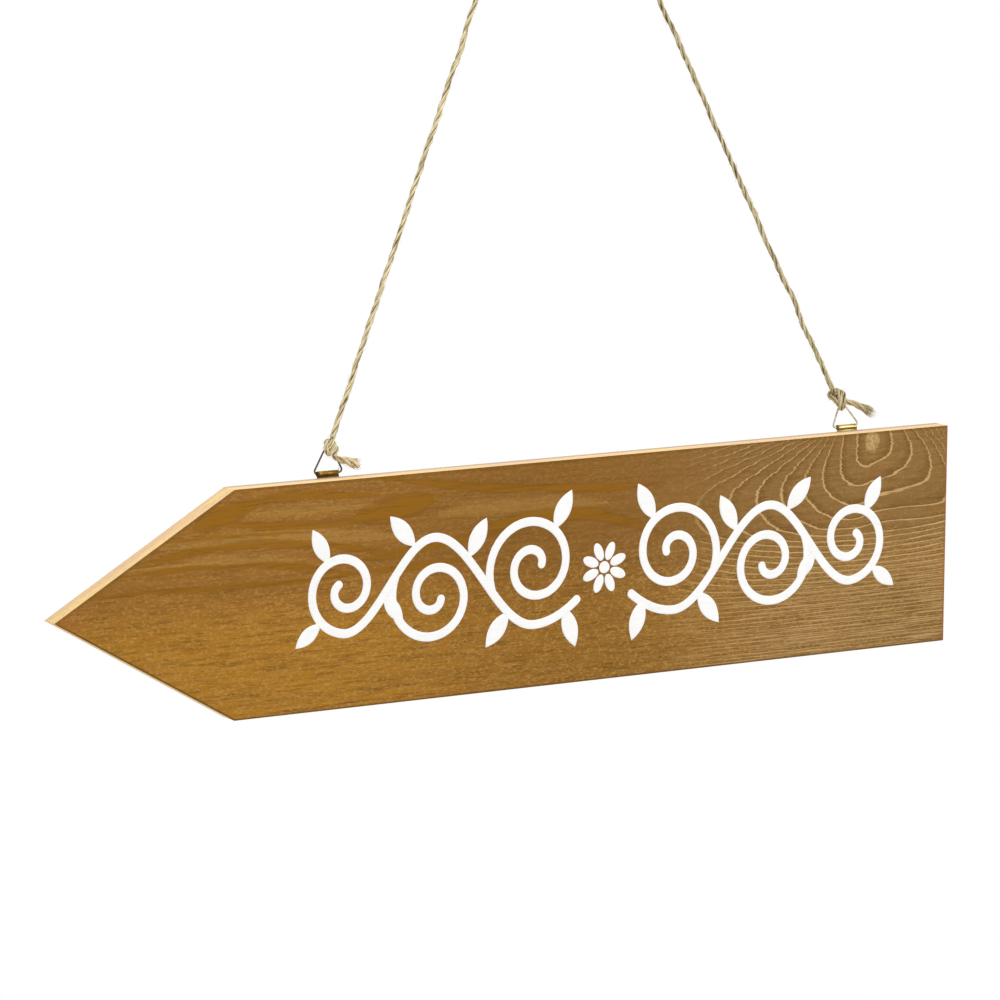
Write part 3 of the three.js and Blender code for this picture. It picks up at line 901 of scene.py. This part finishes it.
def fibreGroup():
    # Fine flecks and streaks along the wood. Place is in millimetres, X along the grain.
    group, given, result = newGroup("wood_fibre", [("Place", "NodeSocketVector", (0, 0, 0))], [
        ("Pale", "NodeSocketFloat"), ("Dark", "NodeSocketFloat"), ("Thread", "NodeSocketFloat"),
        ("Streak", "NodeSocketFloat"), ("Height", "NodeSocketFloat"),
    ])
    place = given["Place"]
    dashes = stretchedNoise(group, place, (0.5, 0.9, 1.15), (0, 3.4, 0), roughness=0.6)
    pores = stretchedNoise(group, place, (0.06, 0.9, 0.95), (40, 7.4, 90), detail=4, roughness=0.7)
    streak = stretchedNoise(group, place, (0.012, 0.1, 0.42), (3, 70, 11), detail=4, roughness=0.6)
    thread = stretchedNoise(group, place, (0.024, 0.6, 1.25), (9, 40, 21), roughness=0.6)
    fine = stretchedNoise(group, place, (0.5, 2, 4.5), detail=2)
    group.links.new(ramp(group, dashes, 0.48, 0.66), result["Pale"])
    group.links.new(ramp(group, pores, 0.50, 0.63), result["Dark"])
    group.links.new(ramp(group, thread, 0.54, 0.60), result["Thread"])
    group.links.new(streak, result["Streak"])
    group.links.new(scaled(group, fine, 0.5, minus(group, dashes, pores)), result["Height"])
    return group


def bandGroup():
    # A soft band along the grain: its depth is a + b t + c t², where t runs from 0 to 1 over its length.
    group, given, result = newGroup("grain_band", [
        (key, "NodeSocketFloat", 0.0) for key in ("X", "Depth", "From", "To", "A", "B", "C", "Width")
    ], [("Mask", "NodeSocketFloat")])
    span = minus(group, given["To"], given["From"])
    t = calc(group, "DIVIDE", minus(group, given["X"], given["From"]), span)
    centre = scaled(group, scaled(group, t, given["C"], given["B"]), t, given["A"])
    apart = calc(group, "ABSOLUTE", minus(group, given["Depth"], centre))
    inside = times(group, t, minus(group, 1.0, t), 4.0)
    taper = calc(group, "POWER", calc(group, "MAXIMUM", inside, 0.0001), 0.5)
    near = calc(group, "DIVIDE", apart, times(group, given["Width"], taper))
    group.links.new(ramp(group, near, 0.2, 1.35, 1, 0), result["Mask"])
    return group


woodFibre = fibreGroup()
grainBand = bandGroup()


def boardPlace(tree):  # millimetres: along from the tip, depth from the front, down from the top edge
    corner = (-boardLow.x / mm, -boardLow.y / mm, boardHigh.z / mm)
    return mapped(tree, objectPlace(tree), (1 / mm, 1 / mm, -1 / mm), corner)


def growthRings(tree, x, down, calmDown):
    # Counts the rings outwards from the knot. Each ring is an oval round a valley that starts at the knot
    # and sinks to both sides; far below the knot the rings are flat and close together. The second value
    # is 0 for ovals and 1 for flat rings.
    knotX, knotDown = board["knot"]
    across = minus(tree, x, knotX)
    leftward = calc(tree, "MAXIMUM", times(tree, across, -1), 0)
    rightward = calc(tree, "MAXIMUM", across, 0)
    below = minus(tree, down, knotDown)

    def fade(distance, top, reach):
        return times(tree, calc(tree, "EXPONENT", calc(tree, "DIVIDE", distance, -reach)), top)

    def rise(distance, top, reach):
        return minus(tree, top, fade(distance, top, reach))

    def power(value, exponent):
        return calc(tree, "POWER", value, exponent)

    valley = scaled(tree, power(rightward, 2), growth["sinkRight"], rise(leftward, *growth["sinkLeft"]))
    sideways = scaled(tree, rightward, 1 / growth["pitchRight"], rise(leftward, *growth["ringsLeft"]))
    off = minus(tree, below, valley)
    pitch = ramp(tree, leftward, *growth["pitchUnder"])
    under = calc(tree, "DIVIDE", calc(tree, "MAXIMUM", off, 0), pitch)
    isLeft = calc(tree, "LESS_THAN", across, 0)
    steep = mixValue(tree, isLeft, fade(rightward, *growth["uprightRight"]),
                     fade(leftward, *growth["uprightLeft"]))
    over = calc(tree, "DIVIDE", calc(tree, "MAXIMUM", times(tree, off, -1), 0),
                plus(tree, steep, growth["pitchOver"]))
    upright = plus(tree, power(under, 1.21), power(over, 1.67))
    oval = power(plus(tree, power(sideways, 1.5), power(upright, 1.5)), 1 / 1.5)

    aside = calc(tree, "MINIMUM", calc(tree, "ABSOLUTE", across), growth["bowReach"])
    bow = times(tree, power(aside, 2), ramp(tree, below, *growth["bow"]))
    sunk = plus(tree, minus(tree, calmDown, knotDown + growth["flatFrom"]), bow)
    flat = times(tree, sunk, scaled(tree, sunk, growth["flatCloser"], growth["flatRings"]))
    isFlat = ramp(tree, minus(tree, flat, oval), -1.5, 1.5)
    return calc(tree, "SMOOTH_MAX", oval, flat, 2.0), isFlat


def ringMarks(tree, place, x, down, rings, isFlat, broad):
    # A pale raised line on each whole number of the rings, and where it is darker just inside it.
    phase = calc(tree, "FRACT", rings)
    away = calc(tree, "ABSOLUTE", minus(tree, phase, 0.5))
    edge = minus(tree, 0.5, mixValue(tree, isFlat, 0.05, 0.1))
    line = ramp(tree, away, minus(tree, edge, mixValue(tree, isFlat, 0.02, 0.03)), plus(tree, edge, 0.03))
    inside = times(tree, ramp(tree, phase, 0.5, 0.92), ramp(tree, phase, 0.93, 0.98, 1, 0))
    rightHalf = ramp(tree, scaled(tree, broad, 60, x), *stain["ringsFrom"])
    gaps = stretchedNoise(tree, place, (0.045, 0.1, 0.42), detail=4)
    inFlat = times(tree, ramp(tree, gaps, 0.3, 0.48, 0.3, 1), ramp(tree, down, *stain["ringsFade"]))
    broken = mixValue(tree, isFlat, ramp(tree, gaps, 0.3, 0.46, 0.6, 1), inFlat)
    line = times(tree, line, times(tree, rightHalf, broken))
    return line, times(tree, inside, times(tree, rightHalf, mixValue(tree, isFlat, 1.0, 0.6)))


def bandMask(tree, x, down, listed):
    mask = 0.0
    for start, end, first, middle, last, wide in listed:
        c = 2.0 * (first + last - 2 * middle)
        band = addNode(tree, "ShaderNodeGroup", {
            "X": x, "Depth": down, "From": start, "To": end,
            "A": first, "B": last - first - c, "C": c, "Width": wide,
        }, node_tree=grainBand)
        mask = calc(tree, "MAXIMUM", mask, band.outputs["Mask"])
    return mask


def fromSlant(tree, x, height):  # distance from a slanted edge; height is from the middle towards that edge
    slope = math.atan2(boardHeight / 2, board["point"])
    return minus(tree, times(tree, x, math.sin(slope)), times(tree, height, math.cos(slope)))


def stainedWood():
    material, tree, shader = newMaterial("stained_wood")
    place = boardPlace(tree)
    x, depth, down = parts(tree, place)
    fibre = addNode(tree, "ShaderNodeGroup", {"Place": place}, node_tree=woodFibre).outputs

    def paint(colour, mask, name):
        return mixColour(tree, mask, colour, board[name])

    def along(name, *strengths):
        return ramp(tree, x, *stain[name], *strengths)

    def downwards(name, *strengths):
        return ramp(tree, down, *stain[name], *strengths)

    # the grain wanders
    teeth = stretchedNoise(tree, place, (0.2, 0.1, 1.1))
    slow = stretchedNoise(tree, place, (0.022, 0.05, 0.2))
    broad = stretchedNoise(tree, place, (0.014, 0.05, 0.045), detail=2)
    toothShift = scaled(tree, teeth, 4.8, -2.4)
    slowShift = scaled(tree, slow, 6.0, -3.0)
    broadShift = scaled(tree, broad, 7.0, -3.5)
    warped = plus(tree, down, plus(tree, slowShift, times(tree, depth, 0.55)))
    calm = scaled(tree, slowShift, -0.6, warped)
    rings, isFlat = growthRings(tree, plus(tree, x, toothShift), warped, calm)
    line, inside = ringMarks(tree, place, x, down, rings, isFlat, broad)

    # the stain's broad colours: golden at the lower left, shaded at the right and towards the foot
    colour = mixColour(tree, along("rightward"), board["left"], board["right"])
    golden = times(tree, downwards("goldDown"), along("goldAlong"), along("goldEnd"))
    colour = paint(colour, golden, "gold")
    shaded = times(tree, along("shadeAlong"), downwards("shadeDown", along("shadeAtFoot")))
    colour = paint(colour, shaded, "dark")
    colour = paint(colour, times(tree, along("cornerAlong"), downwards("cornerDown")), "dark")
    colour = paint(colour, ramp(tree, fibre["Streak"], 0.34, 0.6, 0.26, 0), "dark")

    # amber and pale bands of the left half, with ragged edges
    bandDown = plus(tree, warped, times(tree, broadShift, 0.25))
    ragged = scaled(tree, fibre["Streak"], 5.0, plus(tree, bandDown, -2.5))
    ragged = scaled(tree, toothShift, 0.45, ragged)
    colour = paint(colour, times(tree, bandMask(tree, x, ragged, paleBands), 0.22), "pale")
    uneven = ramp(tree, fibre["Streak"], 0.36, 0.6, 0.75, 1)
    amber = times(tree, bandMask(tree, x, ragged, amberBands), uneven, along("amberEnd"))
    colour = paint(colour, times(tree, amber, 0.68), "amber")
    rimmed = times(tree, ramp(tree, amber, 0.05, 0.4), ramp(tree, amber, 0.4, 0.8, 0.24, 0))
    colour = paint(colour, rimmed, "dark")

    # pores, flecks and raised threads over them
    colour = paint(colour, times(tree, inside, 0.5), "dark")
    quiet = downwards("quietDown", along("quietAlong"), 0)
    pores = times(tree, fibre["Dark"], scaled(tree, quiet, -0.28, 0.53))
    colour = paint(colour, pores, "dark")
    flecks = scaled(tree, quiet, -0.28, ramp(tree, amber, 0, 0.8, 0.45, 0.08))
    colour = paint(colour, times(tree, fibre["Pale"], flecks), "pale")
    threads = times(tree, fibre["Thread"], downwards("threadDown"), along("threadAlong"))
    colour = paint(colour, threads, "raised")
    colour = paint(colour, times(tree, line, 0.9), "raised")

    # the knot's mottled middle
    knotX, knotDown = board["knot"]
    fromKnot = lengthOf(tree, mapped(tree, place, (1, 0, 0.8), (-knotX, 0, -0.8 * (knotDown - 1))))
    mottle = stretchedNoise(tree, place, (0.5, 0.3, 0.5))
    patch = times(tree, ramp(tree, plus(tree, fromKnot, toothShift), 4.0, 5.6, 1, 0),
                  ramp(tree, mottle, 0.36, 0.6, 0.3, 0.75))
    colour = paint(colour, patch, "raised")

    # darker along the edges, most at the bottom, and reddish at both ends
    fromMiddle = minus(tree, down, boardHeight / 2)
    toTop = calc(tree, "MINIMUM", fromSlant(tree, x, times(tree, fromMiddle, -1)), down)
    colour = paint(colour, ramp(tree, toTop, *stain["topLine"]), "dark")
    toBottom = calc(tree, "MINIMUM", fromSlant(tree, x, fromMiddle), minus(tree, boardHeight, down))
    colour = paint(colour, ramp(tree, toBottom, *stain["bottomLine"]), "dark")
    colour = paint(colour, plus(tree, along("reddishEnd"), along("reddishTip")), "reddish")

    rough = scaled(tree, fibre["Dark"], 0.15, scaled(tree, fibre["Streak"], 0.2, 0.46))
    raised = scaled(tree, line, 1.1, times(tree, fibre["Height"], 0.7))
    finishShader(tree, shader, colour, rough, raised, 0.5, 0.25 * mm)
    shader.inputs["Specular IOR Level"].default_value = 0.05
    return material


def rawWood():  # the sawn edges, darker near the front and greyer towards the back
    material, tree, shader = newMaterial("raw_wood")
    place = boardPlace(tree)
    x, depth, _ = parts(tree, place)
    fibre = addNode(tree, "ShaderNodeGroup", {"Place": place}, node_tree=woodFibre).outputs
    blush = stretchedNoise(tree, place, (0.012, 0.2, 0.03), detail=2)
    annual = stretchedNoise(tree, place, (0.004, 0.9, 0.25))
    colour = mixColour(tree, ramp(tree, blush, 0.4, 0.6), board["raw"], board["rawPink"])
    colour = mixColour(tree, ramp(tree, annual, 0.5, 0.7, 0, 0.35), colour, board["rawDark"])
    colour = mixColour(tree, times(tree, fibre["Dark"], 0.25), colour, board["rawDark"])
    uneven = scaled(tree, fibre["Streak"], 0.8, depth)
    colour = mixColour(tree, ramp(tree, uneven, 0.75, 1.1, 0.5, 0), colour, board["rawDark"])
    atBack = times(tree, ramp(tree, uneven, 7.2, 8.8, 0, 0.85), ramp(tree, x, 104, 112, 0.15, 1))
    colour = mixColour(tree, atBack, colour, board["rawGrey"])
    finishShader(tree, shader, colour, 0.78, fibre["Height"], 0.4, 0.2 * mm)
    return material


def cutBoard():
    low, high = boardLow, boardHigh
    middle = (low.z + high.z) / 2
    shoulder = low.x + board["point"] * mm
    bm = bmesh.new()
    outline = ((low.x, middle), (shoulder, low.z), (high.x, low.z), (high.x, high.z), (shoulder, high.z))
    face = bm.faces.new([bm.verts.new((x, low.y, z)) for x, z in outline])
    extrudeFlat(bm, [face], high.y - low.y)
    bmesh.ops.recalc_face_normals(bm, faces=bm.faces)
    bevelEdges(bm, bm.edges[:], board["edgeBreak"], 3)
    bmesh.ops.recalc_face_normals(bm, faces=bm.faces)
    for face in bm.faces:
        face.material_index = 0 if abs(face.normal.y) > 0.1 else 1
    mesh = finishMesh("board", bm, stainedWood(), rawWood())
    addPiece("sawn_board", mesh, "board", "arrow_board")


cutBoard()
print("board cut and stained")


# Painted scroll, in millimetres: its right half round the centre, which is mirrored for the left half

scroll = {
    "centre": (28.5, -427),
    "film": 0.3,
    "stroke": 5,
    "start": (18, 11.5),
    "trough": (46, -28),
    "crest": (110, 26),
    "lastTrough": (166, -22),
    "curls": [  # x, z, outer and inner radius, start in degrees, turns
        (46, 5, 29.5, 5, -23, 1.55), (110, -6, 27.5, 5, 28, -1.5), (166, 2, 24, 5, -90, 1.35),
    ],
    "leaves": [  # x, z, length, degrees
        (33, 24, 24, 118), (62, -19, 24, -52), (88, 13, 24, 118), (122, 22, 24, 48),
        (142, -3, 20, -128), (181, -15, 20, -38), (26, -20, 24, -108), (176, 17, 22, 62),
    ],
    "leafWidth": 0.42,
    "petals": 8,
    "petal": 15,
    "petalHalfWidth": 2.9,
    "petalGap": 0.9,
    "middle": 6.8,
    "step": 1.1,
    "finest": 0.02,  # the radius at a stroke's pointed or rounded end
}


def whitePaint():
    material, tree, shader = newMaterial("white_paint")
    place = boardPlace(tree)
    fibre = addNode(tree, "ShaderNodeGroup", {"Place": place}, node_tree=woodFibre).outputs
    cloud = stretchedNoise(tree, place, (0.05, 0.05, 0.05))
    colour = mixColour(tree, ramp(tree, cloud, 0.4, 0.7, 0, 0.5), (0.885, 0.88, 0.865), (0.84, 0.83, 0.805))
    colour = mixColour(tree, times(tree, fibre["Dark"], 0.12), colour, (0.62, 0.55, 0.45))
    finishShader(tree, shader, colour, 0.5, fibre["Height"], 0.25, 0.12 * mm)
    return material


def roundEnded(points, radius):  # a stroke of even width with round ends
    points = evenSteps(points, scroll["step"])
    first, last = (points[0] - points[1]).normalized(), (points[-1] - points[-2]).normalized()
    turns = [math.pi / 2 * k / 5 for k in range(1, 6)]
    cap = [(radius * math.sin(turn), radius * math.cos(turn)) for turn in turns]
    ahead = [points[0] + reach * first for reach, _ in reversed(cap)]
    behind = [points[-1] + reach * last for reach, _ in cap]
    ends = [max(r, scroll["finest"]) for _, r in cap]
    return ahead + points + behind, ends[::-1] + [radius] * len(points) + ends


def leafShape(x, z, length, degrees):
    ahead = Vector((math.cos(math.radians(degrees)), 0, math.sin(math.radians(degrees))))
    shares = [k / 14 for k in range(15)]
    points = [Vector((x, 0, z)) + length * t * ahead for t in shares]
    radii = [max(scroll["finest"], 2 * t * (1 - t) * length * scroll["leafWidth"]) for t in shares]
    return points, radii


def wave(first, last, steps=24):  # half a wave from one turning point to the next
    found = []
    for t in (k / steps for k in range(steps + 1)):
        height = (1 - math.cos(math.pi * t)) / 2
        x, z = first[0] + (last[0] - first[0]) * t, first[1] + (last[1] - first[1]) * height
        found.append(Vector((x, 0, z)))
    return found


def curl(x, z, outer, inner, startDegrees, turns, steps=60):
    found = []
    for k in range(steps + 1):
        share = k / steps
        angle = math.radians(startDegrees + 360 * turns * share)
        radius = outer + (inner - outer) * share
        found.append(Vector((x + radius * math.cos(angle), 0, z + radius * math.sin(angle))))
    return found


def flourish():
    radius = scroll["stroke"] / 2
    (startX, rise), (troughX, troughZ) = scroll["start"], scroll["trough"]
    opening = []
    for k in range(12):
        back = 1 - k / 12
        opening.append(Vector((troughX - (troughX - startX) * back, 0, troughZ + rise * back ** 2)))
    first, second, last = (curl(*each) for each in scroll["curls"])
    up = wave(scroll["trough"], scroll["crest"])
    down = wave(scroll["crest"], scroll["lastTrough"])[1:]
    stem = opening + up + down + last[1:]
    strokes = [roundEnded(line, radius) for line in (stem, first, second)]
    return strokes + [leafShape(*leaf) for leaf in scroll["leaves"]]


def bulb(start, end, halfWidth, steps):  # an oval stroke from one point to another
    middle, half = (start + end) / 2, (end - start) / 2
    shares = [math.cos(math.pi * i / steps) for i in range(steps + 1)]
    points = [middle - half * c for c in shares]
    return points, [max(scroll["finest"], halfWidth * math.sqrt(max(0, 1 - c * c))) for c in shares]


def blossom():
    radius = scroll["middle"] / 2
    near, far = radius + scroll["petalGap"], scroll["petal"] - 0.1
    found = []
    for k in range(scroll["petals"]):
        angle = math.tau * (k + 0.5) / scroll["petals"]
        ahead = Vector((math.cos(angle), 0, math.sin(angle)))
        found.append(bulb(near * ahead, far * ahead, scroll["petalHalfWidth"], 14))
    return found + [bulb(Vector((-radius, 0, 0)), Vector((radius, 0, 0)), radius, 16)]


def brushStrokes(name, strokes, mirrored, node, seed):
    # Round tubes pressed flat: their tops lie within the paint's film and their backs on the wood.
    rng = random.Random(seed)
    x0, z0 = scroll["centre"]
    whole = bmesh.new()
    for points, radii in strokes:
        mesh = tubesMesh(name, [(points, radii)], 6, paintLook)
        one = bmesh.new()
        one.from_mesh(mesh)
        bpy.data.meshes.remove(mesh)
        closeEnds(one)
        film = scroll["film"] * rng.uniform(0.86, 0.99)
        for vert in one.verts:
            share = min(1, abs(vert.co.y) / 0.9)
            vert.co.y = math.copysign(film * (1 - (1 - share) ** 2), vert.co.y)
        bmesh.ops.bisect_plane(one, geom=one.verts[:] + one.edges[:] + one.faces[:], dist=1e-6,
                               plane_co=(0, 0, 0), plane_no=(0, 1, 0), clear_outer=True)
        closeEnds(one)
        piece = bpy.data.meshes.new(name)
        one.to_mesh(piece)
        one.free()
        whole.from_mesh(piece)
        bpy.data.meshes.remove(piece)
    if mirrored:
        bmesh.ops.scale(whole, verts=whole.verts, vec=(-1, 1, 1))
    bmesh.ops.scale(whole, verts=whole.verts, vec=(mm, mm, mm))
    bmesh.ops.translate(whole, verts=whole.verts, vec=(x0 * mm, boardLow.y, z0 * mm))
    addPiece(name, finishMesh(name, whole, paintLook), "board", node, 60)


paintLook = whitePaint()
brushStrokes("scroll_strokes_right", flourish(), False, "painted_scroll_right", 5)
brushStrokes("scroll_strokes_left", flourish(), True, "painted_scroll_left", 6)
brushStrokes("blossom_strokes", blossom(), False, "painted_blossom", 7)
print("scroll painted")


# Floor, world and lamps

studio = {
    "floorZ": boardLow.z - 0.45,
    "floorSize": 12,
    "world": 0.5,
    "lamps": [  # azimuth, elevation, distance, size, power
        ("key", -24, 50, 2.6, 1.3, 28),
        ("fill", 38, 12, 2.6, 1.1, 14),
        ("top", 10, 80, 2.4, 1.2, 12),
        ("back", 165, 30, 2.8, 1.4, 14),
    ],
}


def whiteForCamera(tree):
    path = addNode(tree, "ShaderNodeLightPath").outputs
    seen = calc(tree, "MAXIMUM", path["Is Camera Ray"], path["Is Glossy Ray"])
    return calc(tree, "MAXIMUM", seen, path["Is Transmission Ray"])


def mixShaders(tree, factor, first, second):
    inputs = {0: factor, 1: first.outputs[0], 2: second.outputs[0]}
    return addNode(tree, "ShaderNodeMixShader", inputs).outputs[0]


def makeWorld():
    world = bpy.data.worlds.new("studio")
    world.use_nodes = True
    tree = world.node_tree
    tree.nodes.clear()
    light = addNode(tree, "ShaderNodeBackground", {"Color": (1, 1, 1), "Strength": studio["world"]})
    white = addNode(tree, "ShaderNodeBackground", {"Color": (1, 1, 1), "Strength": 1.0})
    output = addNode(tree, "ShaderNodeOutputWorld")
    tree.links.new(mixShaders(tree, whiteForCamera(tree), light, white), output.inputs["Surface"])
    scene.world = world


def makeFloor():
    bm = bmesh.new()
    bmesh.ops.create_grid(bm, x_segments=1, y_segments=1, size=studio["floorSize"] / 2)
    bmesh.ops.translate(bm, verts=bm.verts, vec=(0, 0, studio["floorZ"]))
    material, tree, shader = newMaterial("pale_floor")
    shader.inputs["Base Color"].default_value = (0.9, 0.9, 0.9, 1)
    shader.inputs["Roughness"].default_value = 0.9
    farOff = ramp(tree, lengthOf(tree, objectPlace(tree)), 0.6, 1.05, 0.5, 1)  # all white past the shadow
    glow = addNode(tree, "ShaderNodeEmission", {"Color": (1, 1, 1), "Strength": 1.0})
    mixed = mixShaders(tree, times(tree, farOff, whiteForCamera(tree)), shader, glow)
    tree.links.new(mixed, tree.nodes["Material Output"].inputs["Surface"])
    floor = bpy.data.objects.new("floor", finishMesh("floor", bm, material))
    scene.collection.objects.link(floor)


def makeLamps():
    target = (boardLow + boardHigh) / 2
    for name, azimuth, elevation, distance, size, power in studio["lamps"]:
        back = directionFrom(azimuth, elevation)
        light = bpy.data.lights.new(name, "AREA")
        light.shape, light.size, light.energy = "DISK", size, power
        lamp = bpy.data.objects.new(name, light)
        turned = back.to_track_quat("Z", "Y").to_matrix().to_4x4()
        lamp.matrix_world = Matrix.Translation(target + distance * back) @ turned
        scene.collection.objects.link(lamp)


makeWorld()
makeFloor()
makeLamps()
print("studio lit")
